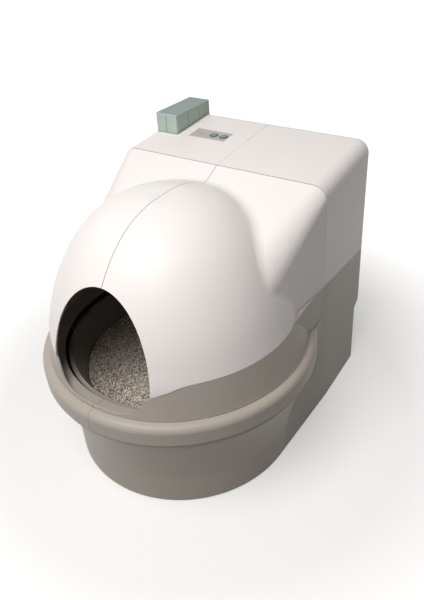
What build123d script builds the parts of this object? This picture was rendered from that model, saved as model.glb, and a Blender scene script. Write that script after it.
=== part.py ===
"""Self-washing cat litter box with a two-part hood, built as separate pieces in one frame.

Millimetres, +Z up, front towards -Y, origin on the floor under the middle of the outline.
"""
import os
from math import acos, atan2, cos, degrees, hypot, pi, radians, sin, sqrt, tan

from build123d import *

# Overall form
RIM_R = 250.0                       # outer radius of the rim band
BAY = 116.0                         # machine bay behind the rim's circle
LENGTH = 2 * RIM_R + BAY            # front of the rim to the rear overhang
BASE_TOP_Z = 268.0                  # line between base and housing, at the rear
PART_RISE = 20.0                    # rise of that line from the rear to the seam
HOUSING_H = 214.0                   # top of the housing at its front, above BASE_TOP_Z
REAR_MAX_Y = LENGTH / 2
BOWL_Y = RIM_R - LENGTH / 2         # axis of foot, rim and bowl
SEAM_Y = BOWL_Y + RIM_R - 104.0     # plane where hood and side walls meet the housing
PANEL_FACE_Y = SEAM_Y + 2.5         # front face of the panel behind that plane
HOUSING_HALF = RIM_R - 34.0         # half width of the housing at its lower edge
FLOOR_HALF = HOUSING_HALF + 6.0     # half width of the block at the floor
TOP_FRONT_Z = BASE_TOP_Z + HOUSING_H
TOP_BACK_Z = TOP_FRONT_Z + 18.0
CORNER_R = 40.0                     # upright rear corners at the floor
KNEE_Y = SEAM_Y + 40.0              # where the straight sides of the block begin
KNEE_R = 400.0                      # soft bend from the round foot into those sides
TOP_EDGE_R = 26.0                   # rounding of the housing top
LIP_R = 0.8                         # rounding of the housing's front edge
WALL = 3.0                          # moulded wall
SEAM_GAP = 0.6                      # visible parting gaps
SEAT_GAP = 0.3                      # seat between pieces that rest on each other
RUN_FIT = 0.05                      # radial play of a turning fit
KEY_FIT = 0.02                      # radial play of a keyed fit
FAR = 900.0                         # beyond everything, for cutting spaces

# Base
FOOT_R = RIM_R - 37.0
FOOT_Z = 63.0                       # top of the upright foot
DECK_Z = FOOT_Z + 3.0               # upper face of the wet deck
DECK_T = 4.0
PAN_R = FOOT_R - 4.0                # inside of the wet pan
LEDGE_R = RIM_R - 5.0
BAND_Z1 = BASE_TOP_Z - 51.0         # top of the rim band
LEDGE_Z1 = BAND_Z1 - 34.0
LEDGE_Z0 = LEDGE_Z1 - 12.0
PAN_REAR_Z = BAND_Z1 - 2.0          # pan wall under the housing
LOW_BACK_Y = REAR_MAX_Y - 42.0      # rear wall under the overhang
LOW_CORNER_R = 9.0
STEP_Z0 = 140.0
STEP_Z1 = 165.0
UPSTAND = 8.0                       # lap joint between base and housing
FOOT_PAD_R = 12.0
FOOT_PAD_H = 5.0

# Side walls
BAND_ROUND = 12.0
WALL_LOW_R = RIM_R - 14.0           # wall above the band
WALL_TOP_R = RIM_R - 33.4           # wall where it meets the hood
WALL_TOP_Z = BASE_TOP_Z + 24.0
WALL_LEDGE = 12.0                   # width of the ledge that carries the hood beside the seam
SIDE_HALF = HOUSING_HALF - 1.0      # straight part beside the seam
FLANGE_R = RIM_R - 40.0             # inner edge of the sloping flange

# Hood
DOME_Y = BOWL_Y - 8.0
DOME_R = RIM_R - 28.5
DOME_Z0 = BASE_TOP_Z - 9.5
DOME_Z1 = TOP_FRONT_Z + 7.4
DOME_UP = 1.41                      # exponents of the crown curve
DOME_OUT = 2.62
SHOULDER_Y = BOWL_Y - 22.0          # front end of the shoulder, inside the dome
SHOULDER_LOW_HALF = HOUSING_HALF - 12.0
SHOULDER_Z = TOP_FRONT_Z - 80.0
SHOULDER_OUT = 15.5                 # shoulder's upper corners beyond the dome, before rounding
SHOULDER_R = 66.0
VALLEY_R = 24.0                     # hollow between dome and shoulder
VALLEY_IN_R = 16.0                  # the same edge on the inside
DOOR_HALF = 97.0
DOOR_Z0 = BASE_TOP_Z - 7.0
DOOR_H = 146.0
ENTRY_Z = BASE_TOP_Z - 43.5         # lowest part of the entrance lip
SADDLE = 57.5                       # rise of the lip from the entrance to the sides

# Bowl and drive
BOWL_R = PAN_R - 4.0
BOWL_TOP_Z = BAND_Z1 - 11.0
BOWL_FLOOR_Z = DECK_Z + 32.0
BOWL_DEPTH = BOWL_TOP_Z - BOWL_FLOOR_Z
BOWL_FLOOR_R = BOWL_R - 45.0
CONE_H = 28.0                       # raised middle of the bowl
HUB_Z = BOWL_FLOOR_Z - 12.0         # underside of the bowl's hub
BED_Z = BOWL_FLOOR_Z + 44.0         # granules in the raked ring
BED_EDGE_Z = BED_Z + 16.0
SPINDLE_R = 8.0
COLLAR_H = 6.0                      # spindle collar between bowl and deck boss
HEX_FLAT = 24.0
GEAR_TEETH = 64
PINION_TEETH = 16
MODULE = 2.0
BACKLASH = 0.3
GEAR_Z0 = DECK_Z - 24.0
GEAR_T = 10.0

# Arm
PIVOT_Y = SEAM_Y + 62.0
PIVOT_Z = BASE_TOP_Z - 6.0
PARK_DEG = 75.0                     # parked direction of the arm, from +Y towards +Z
ARM_L = 146.0
TINE_L = 42.0
TINE_DEG = 38.0
TINE_N = 7
TINE_W = 5.0
SCOOP_HALF = 45.0
SHAFT_R = 5.0
CHEEK_X = 78.0
CHEEK_T = 6.0
WINDOW_HALF = 62.0
WINDOW_TOP_Z = TOP_FRONT_Z - 26.0

# Waste, water and air
PUMP_Y = LOW_BACK_Y - 57.5
VOLUTE_R = 50.0
VOLUTE_H = 46.0
COVER_SKIRT = 8.0                   # side of the pump cover
HOPPER_TOP_Z = PIVOT_Z - 12.0
HOPPER_HALF_X = 70.0
HOPPER_HALF_Y = 56.0
HOPPER_Y = PUMP_Y + 17.5
HOPPER_WALL = 2.5
OUTLET_L = 18.0                     # hopper outlet above the pump
NECK_R = 28.0
DRAIN_X = -36.0
DRAIN_Z = 90.0
DRAIN_R = 11.0
DRAIN_BORE_R = 8.5
VALVE_X = 100.0
VALVE_Z = 100.0
INLET_R = 12.0
INLET_BORE_R = 9.0
THREAD_H = 1.2
GLAND_X = -110.0
GLAND_Z = 92.0
GLAND_R = 8.0
CORD_BORE_R = 4.0
TUBE_R = 6.0
TUBE_BORE_R = 4.4
TUBE_BEND = 14.0
SPOUT_Y = SEAM_Y + 16.0
SPOUT_Z = BAND_Z1 + 13.0
BLOWER_Y = SEAM_Y + 77.0
BLOWER_Z = BASE_TOP_Z + 97.0
BLOWER_X = HOUSING_HALF - 104.0
BLOWER_W = 36.0
BLOWER_R = 46.0
FAN_R = 36.0
FAN_BLADES = 24

# Cartridge and controls
CART_X = 44.0 - HOUSING_HALF
CART_Y = REAR_MAX_Y - 77.0
CART_W = 50.0
CART_L = 119.0
CART_H = 132.0
CART_TOP_Z = TOP_BACK_Z + 26.0
CART_LOW_Z = CART_TOP_Z - CART_H
DOCK_PLAY = 0.5
DOCK_WALL = 2.5
PANEL_X = CART_X + 91.0
PANEL_Y = SEAM_Y + 106.0
PANEL_W = 80.0
PANEL_L = 38.0
PANEL_SINK = 0.8
BUTTON_R = 6.5
BUTTON_X = (PANEL_X + 6.0, PANEL_X + 28.0)
BUTTON_RISE = 1.6
BUTTON_TRAVEL = 1.0
BOARD_X = 26.0 - HOUSING_HALF       # outer edge of the circuit board
BOARD_Z = BASE_TOP_Z + 32.0
BOARD_W = 100.0
BOARD_H = 70.0
STANDOFF = 7.5

DRAFT = FLOOR_HALF - HOUSING_HALF
FLOOR_REAR_Y = REAR_MAX_Y + (STEP_Z1 - 2) * DRAFT / BASE_TOP_Z
REAR_Y = FLOOR_REAR_Y - DRAFT
SLOPE = atan2(TOP_BACK_Z - TOP_FRONT_Z, REAR_Y - SEAM_Y)
BLOCK_TAPER = degrees(atan2(DRAFT, BASE_TOP_Z))
HOUSING_TAPER = 1.0
FRONT = Plane((0, 0, 0), x_dir=(0, -1, 0), z_dir=(-1, 0, 0))
TOP = Plane((0, SEAM_Y, TOP_FRONT_Z), x_dir=(1, 0, 0), z_dir=(0, -sin(SLOPE), cos(SLOPE)))


def outline(points, rounds=None):
    """Closed outline through points; rounds maps a point's number to a corner radius."""
    face = make_face(Polyline(*points, close=True))
    for number, radius in (rounds or {}).items():
        x, y = points[number]
        face = fillet(face.vertices().sort_by_distance((x, y, 0))[0], radius)
    return face


def turned(points, rounds=None, y=BOWL_Y, x=0.0):
    """Body turned about an upright axis from an outline of (radius, height) points."""
    return Pos(x, y, 0) * revolve(FRONT * outline(points, rounds), Axis.Z)


def rod(radius, start, end):
    """Round bar between two points."""
    way = Vector(*end) - Vector(*start)
    place = Plane(start, z_dir=way)
    return extrude(place * Circle(radius), way.length)


def block(x0, x1, y0, y1, z0, z1):
    """Box between two corners."""
    return Pos((x0 + x1) / 2, (y0 + y1) / 2, (z0 + z1) / 2) * Box(x1 - x0, y1 - y0, z1 - z0)


def around(radius, count, face):
    """Ring of equal faces."""
    return Sketch() + PolarLocations(radius, count) * face


def both_sides(part):
    """The part and its mirror image across the middle plane."""
    return part + mirror(part, Plane.YZ)


# Base

def base_plan(inset):
    """Foot plan: a round front whose tangent sides bend softly into the straight rear block."""
    front = FOOT_R - inset
    half = FLOOR_HALF - inset
    corner = CORNER_R - inset
    rear = FLOOR_REAR_Y - inset
    x, y = half - KNEE_R, KNEE_Y - BOWL_Y
    lean = atan2(y, x) - acos((front - KNEE_R) / hypot(x, y))

    def knee(angle):
        return (x + KNEE_R * cos(angle), KNEE_Y + KNEE_R * sin(angle))

    touch = (front * cos(lean), BOWL_Y + front * sin(lean))
    turn = (half - corner * (1 - sqrt(0.5)), rear - corner * (1 - sqrt(0.5)))
    edges = [
        Line(touch, knee(lean)),
        ThreePointArc(knee(lean), knee(lean / 2), (half, KNEE_Y)),
        Line((half, KNEE_Y), (half, rear - corner)),
        ThreePointArc((half, rear - corner), turn, (half - corner, rear)),
    ]
    edges += [mirror(edge, Plane.YZ) for edge in edges]
    edges += [
        Line((half - corner, rear), (corner - half, rear)),
        ThreePointArc(touch, (0, BOWL_Y - front), (-touch[0], touch[1])),
    ]
    return make_face([part for edge in edges for part in edge.edges()])


def rear_step(shift):
    """Space under the rear overhang, moved inwards by a wall."""
    y0 = LOW_BACK_Y - shift
    y1 = REAR_MAX_Y - shift
    z1 = STEP_Z1 + shift
    points = [(y0, -5), (y0, STEP_Z0 + shift), (y1, z1), (FAR, z1), (FAR, -5)]
    return Pos(-FAR, 0, 0) * extrude(Plane.YZ * outline(points), 2 * FAR)


def parting(low, high):
    """Sloping layer between two heights above the line where base and housing meet."""
    fall = PART_RISE / (REAR_MAX_Y - SEAM_Y)
    front = BASE_TOP_Z + fall * (REAR_MAX_Y + FAR)
    rear = BASE_TOP_Z + fall * (REAR_MAX_Y - FAR)
    points = [(-FAR, front + low), (FAR, rear + low), (FAR, rear + high), (-FAR, front + high)]
    return Pos(-FAR, 0, 0) * extrude(Plane.YZ * outline(points), 2 * FAR)


def flare_face(inset, low, top):
    """Foot, flare and ledge as an outline of (radius, height)."""
    foot = FOOT_R - inset
    edge = LEDGE_R - inset
    knee = FOOT_Z - 4
    neck = (edge - 5, LEDGE_Z0 - 2)
    low = min(low, knee)
    rise = Spline((foot, knee), (foot + 6, FOOT_Z + 37), neck)
    below = Polyline((foot, knee), (foot, low), (0, low)) if low < knee else Line((foot, knee), (0, knee))
    above = Polyline(neck, (edge, LEDGE_Z0), (edge, top), (0, top), (0, low))
    return make_face([*below.edges(), *rise.edges(), *above.edges()])


def base_outer():
    """Outside of the base: turned foot and flare joined to the tapered rear block."""
    drum = Pos(0, BOWL_Y, 0) * revolve(FRONT * flare_face(0, 2, LEDGE_Z1), Axis.Z)
    body = Pos(0, 0, 2) * extrude(base_plan(0), BASE_TOP_Z + PART_RISE + 10, taper=BLOCK_TAPER)
    body -= block(-FAR, FAR, -FAR, SEAM_Y, LEDGE_Z1, FAR)
    body -= parting(0, FAR)
    body = drum + body - rear_step(0)

    def low_corner(edge):
        box = edge.bounding_box()
        return box.size.Z > STEP_Z0 / 2 and box.min.Y > LOW_BACK_Y - 1 and box.max.Z < STEP_Z1

    return fillet(body.edges().filter_by(low_corner), LOW_CORNER_R)


def rim_locator():
    """Low ring on the ledge that the side walls drop over, left out beside the housing."""
    inner = RIM_R - 2 * WALL - 3
    outer = RIM_R - WALL - 0.5
    low = LEDGE_Z1 - 1
    high = LEDGE_Z1 + UPSTAND
    ring = turned([(inner, low), (outer, low), (outer, high), (inner, high)])
    ring &= block(14 - RIM_R, RIM_R - 14, -FAR, SEAM_Y - 40, 0, FAR)
    return ring - block(45 - RIM_R, RIM_R - 45, BOWL_Y - 2, SEAM_Y + 12, 0, FAR)


def housing_lap():
    """Ledge and upstand that the housing cover drops over."""
    outer = DRAFT + WALL + 3 * SEAT_GAP
    tall = Pos(0, 0, BASE_TOP_Z - 20) * extrude(base_plan(DRAFT + 1) - base_plan(outer + 2.4), 60)
    slim = Pos(0, 0, BASE_TOP_Z - 20) * extrude(base_plan(outer) - base_plan(outer + 2.4), 60)
    ring = (tall & parting(-6, 0)) + (slim & parting(-3, UPSTAND))
    return ring & block(-FAR, FAR, SEAM_Y + 14, FAR, 0, FAR)


def base_inside(gap):
    """Open inside of the base above the deck's seat, less a gap all round."""
    low = DECK_Z - DECK_T - SEAT_GAP + gap
    inside = Pos(0, 0, low) * extrude(base_plan(WALL + 2 + gap), BASE_TOP_Z + PART_RISE, taper=BLOCK_TAPER)
    return inside - rear_step(WALL + gap)


def deck_shelf():
    """Narrow shelf along the foot wall that carries the deck."""
    outer = extrude(base_plan(WALL + 1.5), 3) - rear_step(WALL)
    inner = extrude(base_plan(WALL + 7), 3) - rear_step(WALL + 7)
    return Pos(0, 0, DECK_Z - DECK_T - SEAT_GAP - 3) * (outer - inner)


def base_shell():
    """Foot, flare and the rear machine block as one open wall with the seats for its neighbours."""
    under = extrude(base_plan(WALL + 1), DECK_Z - DECK_T, taper=BLOCK_TAPER) - rear_step(WALL + 1)
    flared = Pos(0, BOWL_Y, 0) * revolve(FRONT * flare_face(WALL + 1, DECK_Z, FAR), Axis.Z)
    flared &= block(-FAR, FAR, -FAR, FAR, DECK_Z, FAR)
    shell = base_outer() - under - base_inside(0) - flared
    shell += deck_shelf()
    shell += rim_locator()
    shell += housing_lap()
    sockets = [(DRAIN_R, DRAIN_X, DRAIN_Z), (INLET_R + 1, VALVE_X, VALVE_Z), (GLAND_R, GLAND_X, GLAND_Z)]
    for radius, x, z in sockets:
        shell -= rod(radius + SEAT_GAP, (x, LOW_BACK_Y - 16, z), (x, LOW_BACK_Y + 24, z))
    return shell


def wash_deck():
    """Deck on the shelf, with the spindle boss and the posts that stand on the foot pads."""
    deck = base_inside(SEAT_GAP) & block(-FAR, FAR, -FAR, FAR, 0, DECK_Z)
    deck += rod(18, (0, BOWL_Y, DECK_Z - DECK_T - 8), (0, BOWL_Y, HUB_Z - COLLAR_H))
    deck -= rod(SPINDLE_R + RUN_FIT, (0, BOWL_Y, 20), (0, BOWL_Y, HUB_Z))
    for x, y in foot_places():
        deck += rod(FOOT_PAD_R - 1, (x, y, FOOT_PAD_H), (x, y, DECK_Z - 1))
    return deck - rod(5.0, (0, PUMP_Y, DECK_Z - 26), (0, PUMP_Y, DECK_Z + 24))


def pan_wall():
    """Curved rear wall of the wet pan, with wings that close it off from the machine bay."""
    front = SEAM_Y + 0.5
    low = DECK_Z + SEAT_GAP
    ring = Pos(0, BOWL_Y, 0) * extrude(Circle(PAN_R + WALL) - Circle(PAN_R), PAN_REAR_Z)
    wall = ring & block(-FAR, FAR, front, FAR, low, PAN_REAR_Z)
    wings = base_inside(SEAT_GAP) & block(-FAR, FAR, front, front + WALL, low, PAN_REAR_Z)
    return wall + (wings - Pos(0, BOWL_Y, 0) * extrude(Circle(PAN_R + 1), FAR))


def foot_places():
    """Six spots: two under the front, two beside the bowl and two at the rear."""
    reach = FOOT_R - 40
    spots = [
        (reach * cos(radians(36)), BOWL_Y - reach * sin(radians(36))),
        (FLOOR_HALF - 34, SEAM_Y - 38),
        (FLOOR_HALF - 42, LOW_BACK_Y - 40),
    ]
    return [(side * x, y) for x, y in spots for side in (-1, 1)]


def base_feet():
    """Pads under the six posts."""
    pads = []
    for x, y in foot_places():
        pad = extrude(Pos(x, y) * Circle(FOOT_PAD_R), FOOT_PAD_H)
        pads.append(chamfer(pad.edges().sort_by(Axis.Z)[0], 1.0))
    return Compound(children=pads)


# Side walls and hood

def wall_top(lift):
    """Space above the line where hood and side walls meet: saddle in front, falling at the rear."""
    low = ENTRY_Z + lift
    side = low + SADDLE
    saddle = [
        (0, low),
        (DOOR_HALF - 47, low + 0.5),
        (DOOR_HALF - 25, low + 8.5),
        (DOOR_HALF - 5, low + 32.5),
        (DOOR_HALF + 23, low + 46.5),
        (DOOR_HALF + 75, side),
    ]
    level = [(1, 0), (1, 0)]
    right = Spline(*saddle, tangents=level)
    left = Spline(*[(-x, z) for x, z in reversed(saddle)], tangents=level)
    end = DOOR_HALF + 75
    rest = Polyline((end, side), (FAR, side), (FAR, FAR), (-FAR, FAR), (-FAR, side), (-end, side))
    front = make_face([*left.edges(), *right.edges(), *rest.edges()])
    front = Pos(0, DOME_Y, 0) * extrude(Plane.XZ * front, FAR)
    end = SEAM_Y + 2
    last = BASE_TOP_Z + PART_RISE + lift
    fall = Spline((DOME_Y, side), (BOWL_Y + 62, last - 1), (end, last), tangents=level)
    over = Polyline((end, last), (end, FAR), (DOME_Y, FAR), (DOME_Y, side))
    rear = extrude(Plane.YZ * make_face([*fall.edges(), *over.edges()]), 2 * FAR)
    return front + Pos(-FAR, 0, 0) * rear


def wall_form(inset):
    """Leaning wall between rim band and hood, with its straight rear part."""
    low = Pos(0, BOWL_Y, BAND_Z1 - 4) * Rot(0, 0, -90) * Circle(WALL_LOW_R - inset)
    high = Pos(0, DOME_Y, WALL_TOP_Z) * Rot(0, 0, -90) * Circle(WALL_TOP_R - inset)
    half = SIDE_HALF - inset
    straight = block(-half, half, DOME_Y, SEAM_Y + 2, BAND_Z1 - 4, WALL_TOP_Z)
    return loft([low, high]) + straight


def side_walls():
    """Rim band, sloping flange and leaning wall round the bowl, still in one piece."""
    band = turned(
        [
            (RIM_R, LEDGE_Z1 + SEAT_GAP),
            (RIM_R, BAND_Z1),
            (WALL_LOW_R - 4, BAND_Z1 + 1.5),
            (WALL_LOW_R - 4, BAND_Z1 - 1.5),
            (RIM_R - WALL, BAND_Z1 - 3),
            (RIM_R - WALL, LEDGE_Z1 + SEAT_GAP),
        ],
        {1: BAND_ROUND, 4: BAND_ROUND - WALL},
    )
    flange = turned(
        [
            (WALL_LOW_R - 1, BAND_Z1 - 1),
            (WALL_LOW_R - 1, BAND_Z1 + 4.5),
            (FLANGE_R + 1, BAND_Z1 - 1),
            (FLANGE_R, BAND_Z1 - 2.5),
            (FLANGE_R + 1, BAND_Z1 - 4),
        ]
    )
    half = HOUSING_HALF + 0.6
    skirt = block(-half, half, DOME_Y, SEAM_Y, LEDGE_Z1 + SEAT_GAP, BAND_Z1)
    skirt -= block(WALL - half, half - WALL, DOME_Y - 1, SEAM_Y + 1, 0, FAR)
    hollow = turned([(0, 0), (RIM_R - WALL, 0), (RIM_R - WALL, FAR), (0, FAR)])
    skirt -= hollow & block(-FAR, FAR, -FAR, SEAM_Y - 20, 0, FAR)
    leaning = wall_form(0) - wall_form(WALL)
    ledge = (wall_form(0) - wall_form(WALL_LEDGE)) & wall_top(-WALL)
    leaning += ledge & block(-FAR, FAR, BOWL_Y, FAR, 0, FAR)
    ring = band + flange + leaning + skirt - wall_top(0)
    return ring - block(-FAR, FAR, SEAM_Y - SEAM_GAP / 2, FAR, 0, FAR)


def crown(share):
    """Radius of the crown curve as a part of its widest, at a part of its height."""
    return (1 - share ** DOME_UP) ** (1 / DOME_OUT)


def dome_form(inset):
    """Crown of the hood, turned from a curve whose sides are upright and whose top is round."""
    high = DOME_Z1 - inset
    wide = DOME_R - inset
    steps = 10
    points = []
    for k in range(steps):
        share = sin(pi / 2 * k / steps)
        points.append((wide * crown(share), DOME_Z0 + share * (high - DOME_Z0)))
    points.append((0, high))
    low = DOME_Z0 - 40
    curve = Spline(*points, tangents=[(0, 1), (-1, 0)])
    sides = Polyline((0, high), (0, low), (wide, low), (wide, DOME_Z0))
    return Pos(0, DOME_Y, 0) * revolve(FRONT * make_face([*curve.edges(), *sides.edges()]), Axis.Z)


def shoulder_section(y, low_half, top_half, top_z, radius):
    """One cross-section of the shoulder, rounded at its upper corners."""
    low = BASE_TOP_Z - 40
    points = [(-low_half, low), (low_half, low), (top_half, top_z), (-top_half, top_z)]
    place = Plane((0, y, 0), x_dir=(1, 0, 0), z_dir=(0, -1, 0))
    return place * outline(points, {2: radius, 3: radius})


def shoulder_form(inset):
    """Sloping shoulder from the housing's section down into the dome."""
    taper = tan(radians(HOUSING_TAPER))
    rear_low = HOUSING_HALF + 40 * taper - inset
    rear_top = HOUSING_HALF - (TOP_FRONT_Z - BASE_TOP_Z) * taper - inset
    rear_y = SEAM_Y - SEAM_GAP
    rear = shoulder_section(rear_y, rear_low, rear_top, TOP_FRONT_Z - 1 - inset, TOP_EDGE_R - inset)
    low_half = SHOULDER_LOW_HALF - inset
    reach = DOME_R * crown((SHOULDER_Z - DOME_Z0) / (DOME_Z1 - DOME_Z0))
    top_half = reach + SHOULDER_OUT - inset
    front = shoulder_section(SHOULDER_Y, low_half, top_half, SHOULDER_Z - inset, SHOULDER_R - inset)
    body = loft([rear, front], ruled=True)
    if inset:
        body += extrude(rear, -20)
    return body


def valley_edges(part):
    """Edges where the shoulder runs into the dome."""
    def crossing(edge):
        box = edge.bounding_box()
        return box.max.Y < SEAM_Y - 5 and box.size.X > 1 and box.size.Z > 1
    return part.edges().filter_by(crossing)


def hood_form(inset):
    """Dome and shoulder blended into one skin."""
    body = dome_form(inset) + shoulder_form(inset)
    return fillet(valley_edges(body), VALLEY_IN_R if inset else VALLEY_R)


def hood():
    """Hood with its arched entrance, still in one piece."""
    shell = (hood_form(0) - hood_form(WALL)) & wall_top(SEAM_GAP)
    arch = Pos(0, DOOR_Z0) * Ellipse(DOOR_HALF, DOOR_H)
    arch += Pos(0, DOOR_Z0 - 40) * Rectangle(2 * DOOR_HALF, 80)
    return shell - Pos(0, DOME_Y - 60, 0) * extrude(Plane.XZ * arch, 300)


def right_half(part):
    """Right side of a two-part piece, parted at the middle plane."""
    return part & block(0, FAR, -FAR, FAR, -FAR, FAR)


# Housing

def housing_form(inset):
    """Tapered housing with a sloping, rounded top; an inset form runs out at the front and below."""
    half = HOUSING_HALF - inset
    corner = CORNER_R - DRAFT - inset
    front = SEAM_Y - 30
    low = BASE_TOP_Z + SEAT_GAP
    rear = REAR_Y - inset
    plan = outline([(-half, front), (half, front), (half, rear), (-half, rear)], {2: corner, 3: corner})
    body = Pos(0, 0, low) * extrude(plan, TOP_BACK_Z - low + 60, taper=HOUSING_TAPER)
    body -= extrude(TOP.offset(-inset) * Rectangle(2 * FAR, 2 * FAR), FAR)
    rim = body.faces().sort_by(Axis.Z)[-1].edges().filter_by(lambda e: e.center().Y > SEAM_Y)
    body = fillet(rim, TOP_EDGE_R - inset)
    if inset:
        return body + Pos(0, 0, low - 30) * extrude(plan, 30)
    return body - parting(-FAR, SEAT_GAP) - block(-FAR, FAR, -FAR, SEAM_Y, 0, FAR)


def dock_plan(play):
    """Outline of the cartridge, grown by a play."""
    return Pos(CART_X, CART_Y) * RectangleRounded(CART_W + 2 * play, CART_L + 2 * play, 3 + play)


def top_spot(x, y):
    """Place on the sloping top, with its own Z along the surface normal."""
    return TOP.location * Pos(x, (y - SEAM_Y) / cos(SLOPE), 0)


def upright(width, length, z0, z1):
    """Box on the Z axis between two heights."""
    return Pos(0, 0, (z0 + z1) / 2) * Box(width, length, z1 - z0)


def housing_cover():
    """Cover of the machine housing with the dock and panel openings and a fine centre line."""
    outer = housing_form(0)
    low = BASE_TOP_Z + PART_RISE + 2
    lip = outer.faces().sort_by(Axis.Y)[0].edges().filter_by(lambda e: e.center().Z > low)
    outer = fillet(lip, LIP_R)
    cover = outer - housing_form(WALL)
    cover -= Pos(0, 0, CART_LOW_Z - 40) * extrude(dock_plan(DOCK_PLAY + DOCK_WALL + SEAT_GAP), FAR)
    panel = upright(PANEL_W + 2 * SEAT_GAP, PANEL_L + 2 * SEAT_GAP, -20, 20)
    cover -= top_spot(PANEL_X, PANEL_Y) * panel
    cover -= top_spot(0, SEAM_Y) * upright(0.8, 2 * FAR, -0.6, 5)
    return cover


def front_panel():
    """Inner panel with the arm's window, air slots, a tongue under the hood's edge and board posts."""
    y0 = PANEL_FACE_Y
    y1 = y0 + WALL
    low = SPOUT_Z - 4
    half = HOUSING_HALF - 6.5 - SEAT_GAP
    inside = housing_form(WALL + SEAT_GAP) + block(-half, half, y0, y1, low, BASE_TOP_Z + 22)
    plate = inside & block(-half, half, y0, y1, low, FAR)
    window = Pos(0, WINDOW_TOP_Z - 150) * RectangleRounded(2 * WINDOW_HALF, 300, 22)
    plate -= Pos(0, y1 + 5, 0) * extrude(Plane.XZ * window, 20)
    for k in range(5):
        z = BLOWER_Z - BLOWER_R + 4 + 4.6 * k
        plate -= block(BLOWER_X + 4, BLOWER_X + BLOWER_W - 4, y0 - 5, y1 + 5, z, z + 2.6)
    tongue = shoulder_form(WALL + 0.5) - shoulder_form(WALL + 2.5)
    plate += tongue & block(-FAR, FAR, SEAM_Y - 7, y0 + 1, BASE_TOP_Z + 30, FAR)
    for x, z in board_posts():
        plate += rod(3.0, (x, y1 - 1, z), (x, y1 + STANDOFF, z))
    return plate


def board_posts():
    return [(BOARD_X + x, BOARD_Z + z) for x in (6, BOARD_W - 6) for z in (6, BOARD_H - 6)]


def control_board():
    """Circuit board with a transformer block, a connector and three round capacitors."""
    y0 = PANEL_FACE_Y + WALL + STANDOFF + SEAT_GAP
    x, z = BOARD_X, BOARD_Z
    board = block(x, x + BOARD_W, y0, y0 + 1.6, z, z + BOARD_H)
    board += block(x + 12, x + 44, y0 + 1, y0 + 26, z + 12, z + 40)
    board += block(x + 78, x + 92, y0 + 1, y0 + 12, z + 16, z + 52)
    for k in range(3):
        spot = x + 54 + 12 * k
        board += rod(5.0, (spot, y0 + 1, z + 22), (spot, y0 + 20, z + 22))
    return board


def control_panel():
    """Sunk panel, held from below by a wider flange, with two button holes."""
    deep = WALL + SEAT_GAP + 1.6
    plate = upright(PANEL_W, PANEL_L, -deep, -PANEL_SINK)
    plate = fillet(plate.edges().filter_by(Axis.Z), 3)
    plate += upright(PANEL_W + 8, PANEL_L + 8, -deep, -WALL - SEAT_GAP)
    for x in BUTTON_X:
        plate -= Pos(x - PANEL_X, 0, 0) * Cylinder(BUTTON_R + 0.2, 40)
    return top_spot(PANEL_X, PANEL_Y) * plate


def button(x):
    """Round key with a collar under the panel that stops it from lifting out."""
    under = WALL + SEAT_GAP + 1.6
    rise = BUTTON_RISE - PANEL_SINK
    cap = Pos(0, 0, -under - 1) * extrude(Circle(BUTTON_R), under + 1 + rise)
    cap = fillet(cap.edges().sort_by(Axis.Z)[-1], 0.8)
    cap += Pos(0, 0, -under - 0.2 - 1.4) * extrude(Circle(BUTTON_R + 2), 1.4)
    return top_spot(x, PANEL_Y) * cap


def cartridge():
    """Cleaner cartridge with finger grooves and a dosing nozzle."""
    body = Pos(0, 0, CART_LOW_Z) * extrude(dock_plan(0), CART_TOP_Z - CART_LOW_Z)
    body = fillet(body.edges().group_by(Axis.Z)[-1], 1.6)
    front = CART_Y - CART_L / 2
    side = CART_X + CART_W / 2
    body -= block(CART_X - 1.5, CART_X + 1.5, front - 1, front + 1.5, CART_LOW_Z - 1, CART_TOP_Z - 6)
    for k in (1, 2):
        y = front + CART_L * k / 3
        body -= block(side - 1.5, side + 1, y - 1.5, y + 1.5, CART_LOW_Z - 1, CART_TOP_Z - 8)
    body += rod(6.0, (CART_X, CART_Y, CART_LOW_Z - 6), (CART_X, CART_Y, CART_LOW_Z + 1))
    return body


def cartridge_dock():
    """Well in the housing that the cartridge drops into."""
    floor = CART_LOW_Z - SEAT_GAP
    dock = Pos(0, 0, floor - DOCK_WALL) * extrude(dock_plan(DOCK_PLAY + DOCK_WALL), FAR)
    dock &= housing_form(0)
    dock -= Pos(0, 0, floor) * extrude(dock_plan(DOCK_PLAY), FAR)
    dock += rod(10.0, (CART_X, CART_Y, floor - 17), (CART_X, CART_Y, floor - 1))
    return dock - rod(6.5, (CART_X, CART_Y, floor - 30), (CART_X, CART_Y, floor + 5))


# Bowl and its drive

def bowl():
    """Round bowl with a raised middle, drain slots and a hexagonal drive socket."""
    floor = BOWL_FLOOR_Z
    points = [
        (0, floor + CONE_H),
        (22, floor + CONE_H),
        (38, floor),
        (BOWL_FLOOR_R, floor),
        (BOWL_R - 7, BOWL_TOP_Z),
        (BOWL_R, BOWL_TOP_Z),
        (BOWL_R, BOWL_TOP_Z - WALL),
        (BOWL_R - 4, BOWL_TOP_Z - WALL),
        (BOWL_FLOOR_R + 2.6, floor - WALL),
        (26, floor - WALL),
        (26, HUB_Z),
        (0, HUB_Z),
    ]
    body = turned(points, {1: 8, 2: 8, 3: 34, 8: 36})
    socket = RegularPolygon(HEX_FLAT / 2 + 0.15, 6, major_radius=False)
    body -= Pos(0, BOWL_Y, HUB_Z) * extrude(socket, 15)
    slots = around(62, 24, SlotOverall(9, 2.6))
    return body - Pos(0, BOWL_Y, floor - 20) * extrude(slots, 30)


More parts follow.
